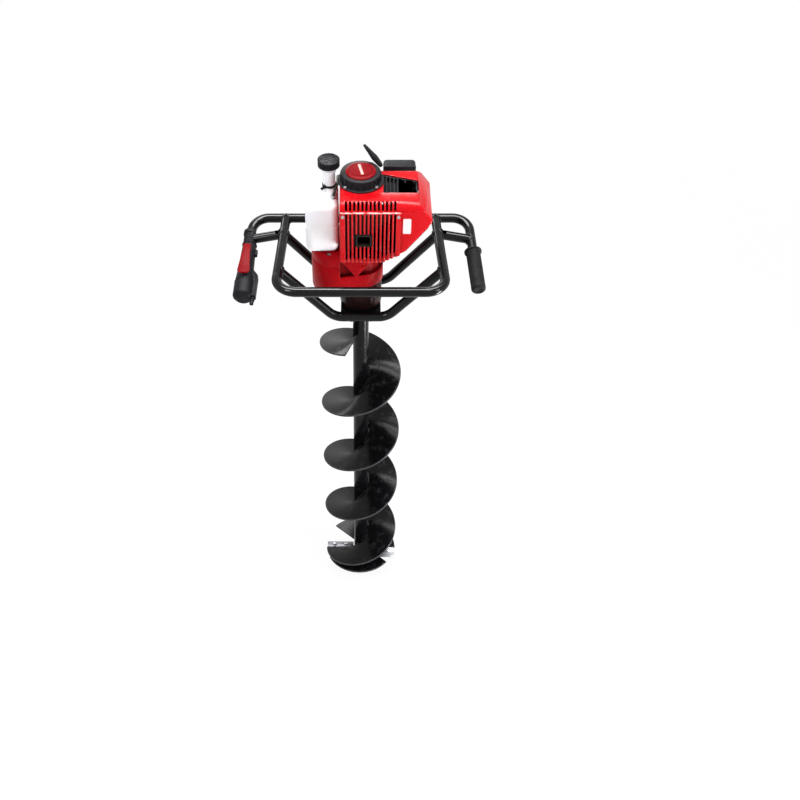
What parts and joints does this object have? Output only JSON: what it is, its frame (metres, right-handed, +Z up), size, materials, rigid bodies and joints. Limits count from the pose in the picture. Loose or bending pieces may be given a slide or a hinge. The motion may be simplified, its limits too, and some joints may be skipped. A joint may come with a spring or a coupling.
{
  "type": "earth auger",
  "caption": "Hand-held earth auger: vertical-crank engine and reduction gearbox in a tube frame with a guard hoop, two grips and a spiral drilling bit.",
  "frame": {"origin": "point of the pilot tip on the drive axis", "axes": "+Z up the drive axis, -Y towards the guard hoop's front rail, +X to the side of the rubber grip"},
  "size_m": [0.5673, 0.2921, 1.378],
  "materials": {
    "frame_paint": "gloss",
    "bit_paint": "satin",
    "cutter_steel": "ground",
    "grip_rubber": "matte",
    "handle_plastic": "satin",
    "red_plastic": "gloss",
    "red_metal": "gloss",
    "red_casting": "painted",
    "black_casting": "painted",
    "casting": "cast",
    "steel": "machined",
    "friction": "sintered",
    "muffler_steel": "heat dulled",
    "black_plastic": "moulded",
    "foam": "open cell foam",
    "rope": "braided",
    "tank_plastic": "translucent",
    "hose_rubber": "satin"
  },
  "bodies": {
    "frame": {"handlebar": "frame_paint", "guard_hoop": "frame_paint", "front_cradle": "frame_paint", "rear_cradle": "frame_paint", "side_braces": "frame_paint", "mount_plate": "frame_paint", "right_grip": "grip_rubber", "throttle_body_inner": "handle_plastic", "throttle_body_outer": "handle_plastic", "starter_cap": "red_plastic", "shroud": "red_plastic", "muffler_guard": "red_metal", "gear_case": "red_casting", "clutch_housing": "red_casting", "bottom_housing": "black_casting", "lower_crankcase": "casting", "upper_crankcase": "casting", "cylinder": "casting", "carburettor": "casting", "piston": "casting", "gearbox_bolts": "steel", "bearings": "steel", "connecting_rod": "steel", "wrist_pin": "steel", "engine_screws": "steel", "spark_plug": "steel", "muffler": "muffler_steel", "plug_cap": "black_plastic", "carb_insulator": "black_plastic", "filter_base": "black_plastic", "filter_cover": "black_plastic", "starter_housing": "black_plastic", "filter_element": "foam", "fuel_tank": "tank_plastic", "fuel_hose": "hose_rubber", "shaft_seal": "hose_rubber"},
    "auger": {"bit_tube": "bit_paint", "main_flight": "bit_paint", "lower_flight": "bit_paint", "cutter_blades": "cutter_steel", "pilot_tip": "cutter_steel", "hitch_pin": "steel", "output_shaft": "steel", "output_gear": "steel"},
    "layshaft": {"layshaft": "steel", "layshaft_gear": "steel"},
    "input": {"input_pinion": "steel", "clutch_drum": "steel"},
    "crank": {"crankshaft": "steel", "flywheel": "casting"},
    "shoe_front": {"clutch_shoe_front": "friction"},
    "shoe_back": {"clutch_shoe_back": "friction"},
    "starter_pull": {"starter_grip": "black_plastic", "starter_rope": "rope"},
    "reel": {"starter_reel": "black_plastic"},
    "trigger": {"throttle_trigger": "handle_plastic"},
    "lever": {"safety_lever": "red_plastic"},
    "switch": {"stop_switch": "red_plastic"},
    "cap": {"fuel_cap": "black_plastic"},
    "choke": {"choke_lever": "black_plastic"}
  },
  "joints": [
    {"name": "auger_spin", "type": "hinge", "parent": "frame", "child": "auger", "pos_m": [0, 0, 1.00695], "axis": [0, 0, 1], "continuous": true},
    {"name": "layshaft_spin", "type": "hinge", "parent": "frame", "child": "layshaft", "pos_m": [-0.052, 0, 1.07495], "axis": [0, 0, 1], "continuous": true},
    {"name": "input_spin", "type": "hinge", "parent": "frame", "child": "input", "pos_m": [0, 0, 1.13995], "axis": [0, 0, 1], "continuous": true},
    {"name": "crank_spin", "type": "hinge", "parent": "frame", "child": "crank", "pos_m": [0, 0, 1.22745], "axis": [0, 0, 1], "continuous": true},
    {"name": "shoe_front_slide", "type": "slide", "parent": "crank", "child": "shoe_front", "axis": [0, -1, 0], "range_m": [0, 0.0006], "stiffness_N_per_m": 20000},
    {"name": "shoe_back_slide", "type": "slide", "parent": "crank", "child": "shoe_back", "axis": [0, 1, 0], "range_m": [0, 0.0006], "stiffness_N_per_m": 20000},
    {"name": "starter_pull", "type": "slide", "parent": "frame", "child": "starter_pull", "axis": [0.4471, 0.7744, 0.4478], "range_m": [0, 0.6], "stiffness_N_per_m": 10},
    {"name": "reel_spin", "type": "hinge", "parent": "frame", "child": "reel", "pos_m": [0, 0, 1.32995], "axis": [0, 0, 1], "range_deg": [0, 1240]},
    {"name": "trigger_press", "type": "hinge", "parent": "frame", "child": "trigger", "pos_m": [-0.25976, -0.01151, 1.08911], "axis": [-0.9976, 0.0698, 0], "range_deg": [0, 12], "stiffness_Nm_per_rad": 0.6},
    {"name": "lever_press", "type": "hinge", "parent": "frame", "child": "lever", "pos_m": [-0.25736, 0.02275, 1.13323], "axis": [0.9976, -0.0698, 0], "range_deg": [0, 4], "stiffness_Nm_per_rad": 0.8},
    {"name": "switch_press", "type": "slide", "parent": "frame", "child": "switch", "axis": [-0.9976, 0.0698, 0], "range_m": [0, 0.003], "stiffness_N_per_m": 300},
    {"name": "cap_turn", "type": "hinge", "parent": "frame", "child": "cap", "pos_m": [-0.068, 0.01, 1.359], "axis": [0, 0, 1], "range_deg": [0, 540]},
    {"name": "choke_turn", "type": "hinge", "parent": "frame", "child": "choke", "pos_m": [0.05, 0.0945, 1.26545], "axis": [-1, 0, 0], "range_deg": [0, 60]}
  ],
  "couplings": [
    {"joint": "layshaft_spin", "follows": "auger_spin", "ratio": -4.5},
    {"joint": "input_spin", "follows": "auger_spin", "ratio": 24.75},
    {"joint": "crank_spin", "follows": "auger_spin", "ratio": 24.75},
    {"joint": "shoe_back_slide", "follows": "shoe_front_slide", "ratio": 1},
    {"joint": "reel_spin", "follows": "starter_pull", "rad_per_m": 35.714}
  ]
}
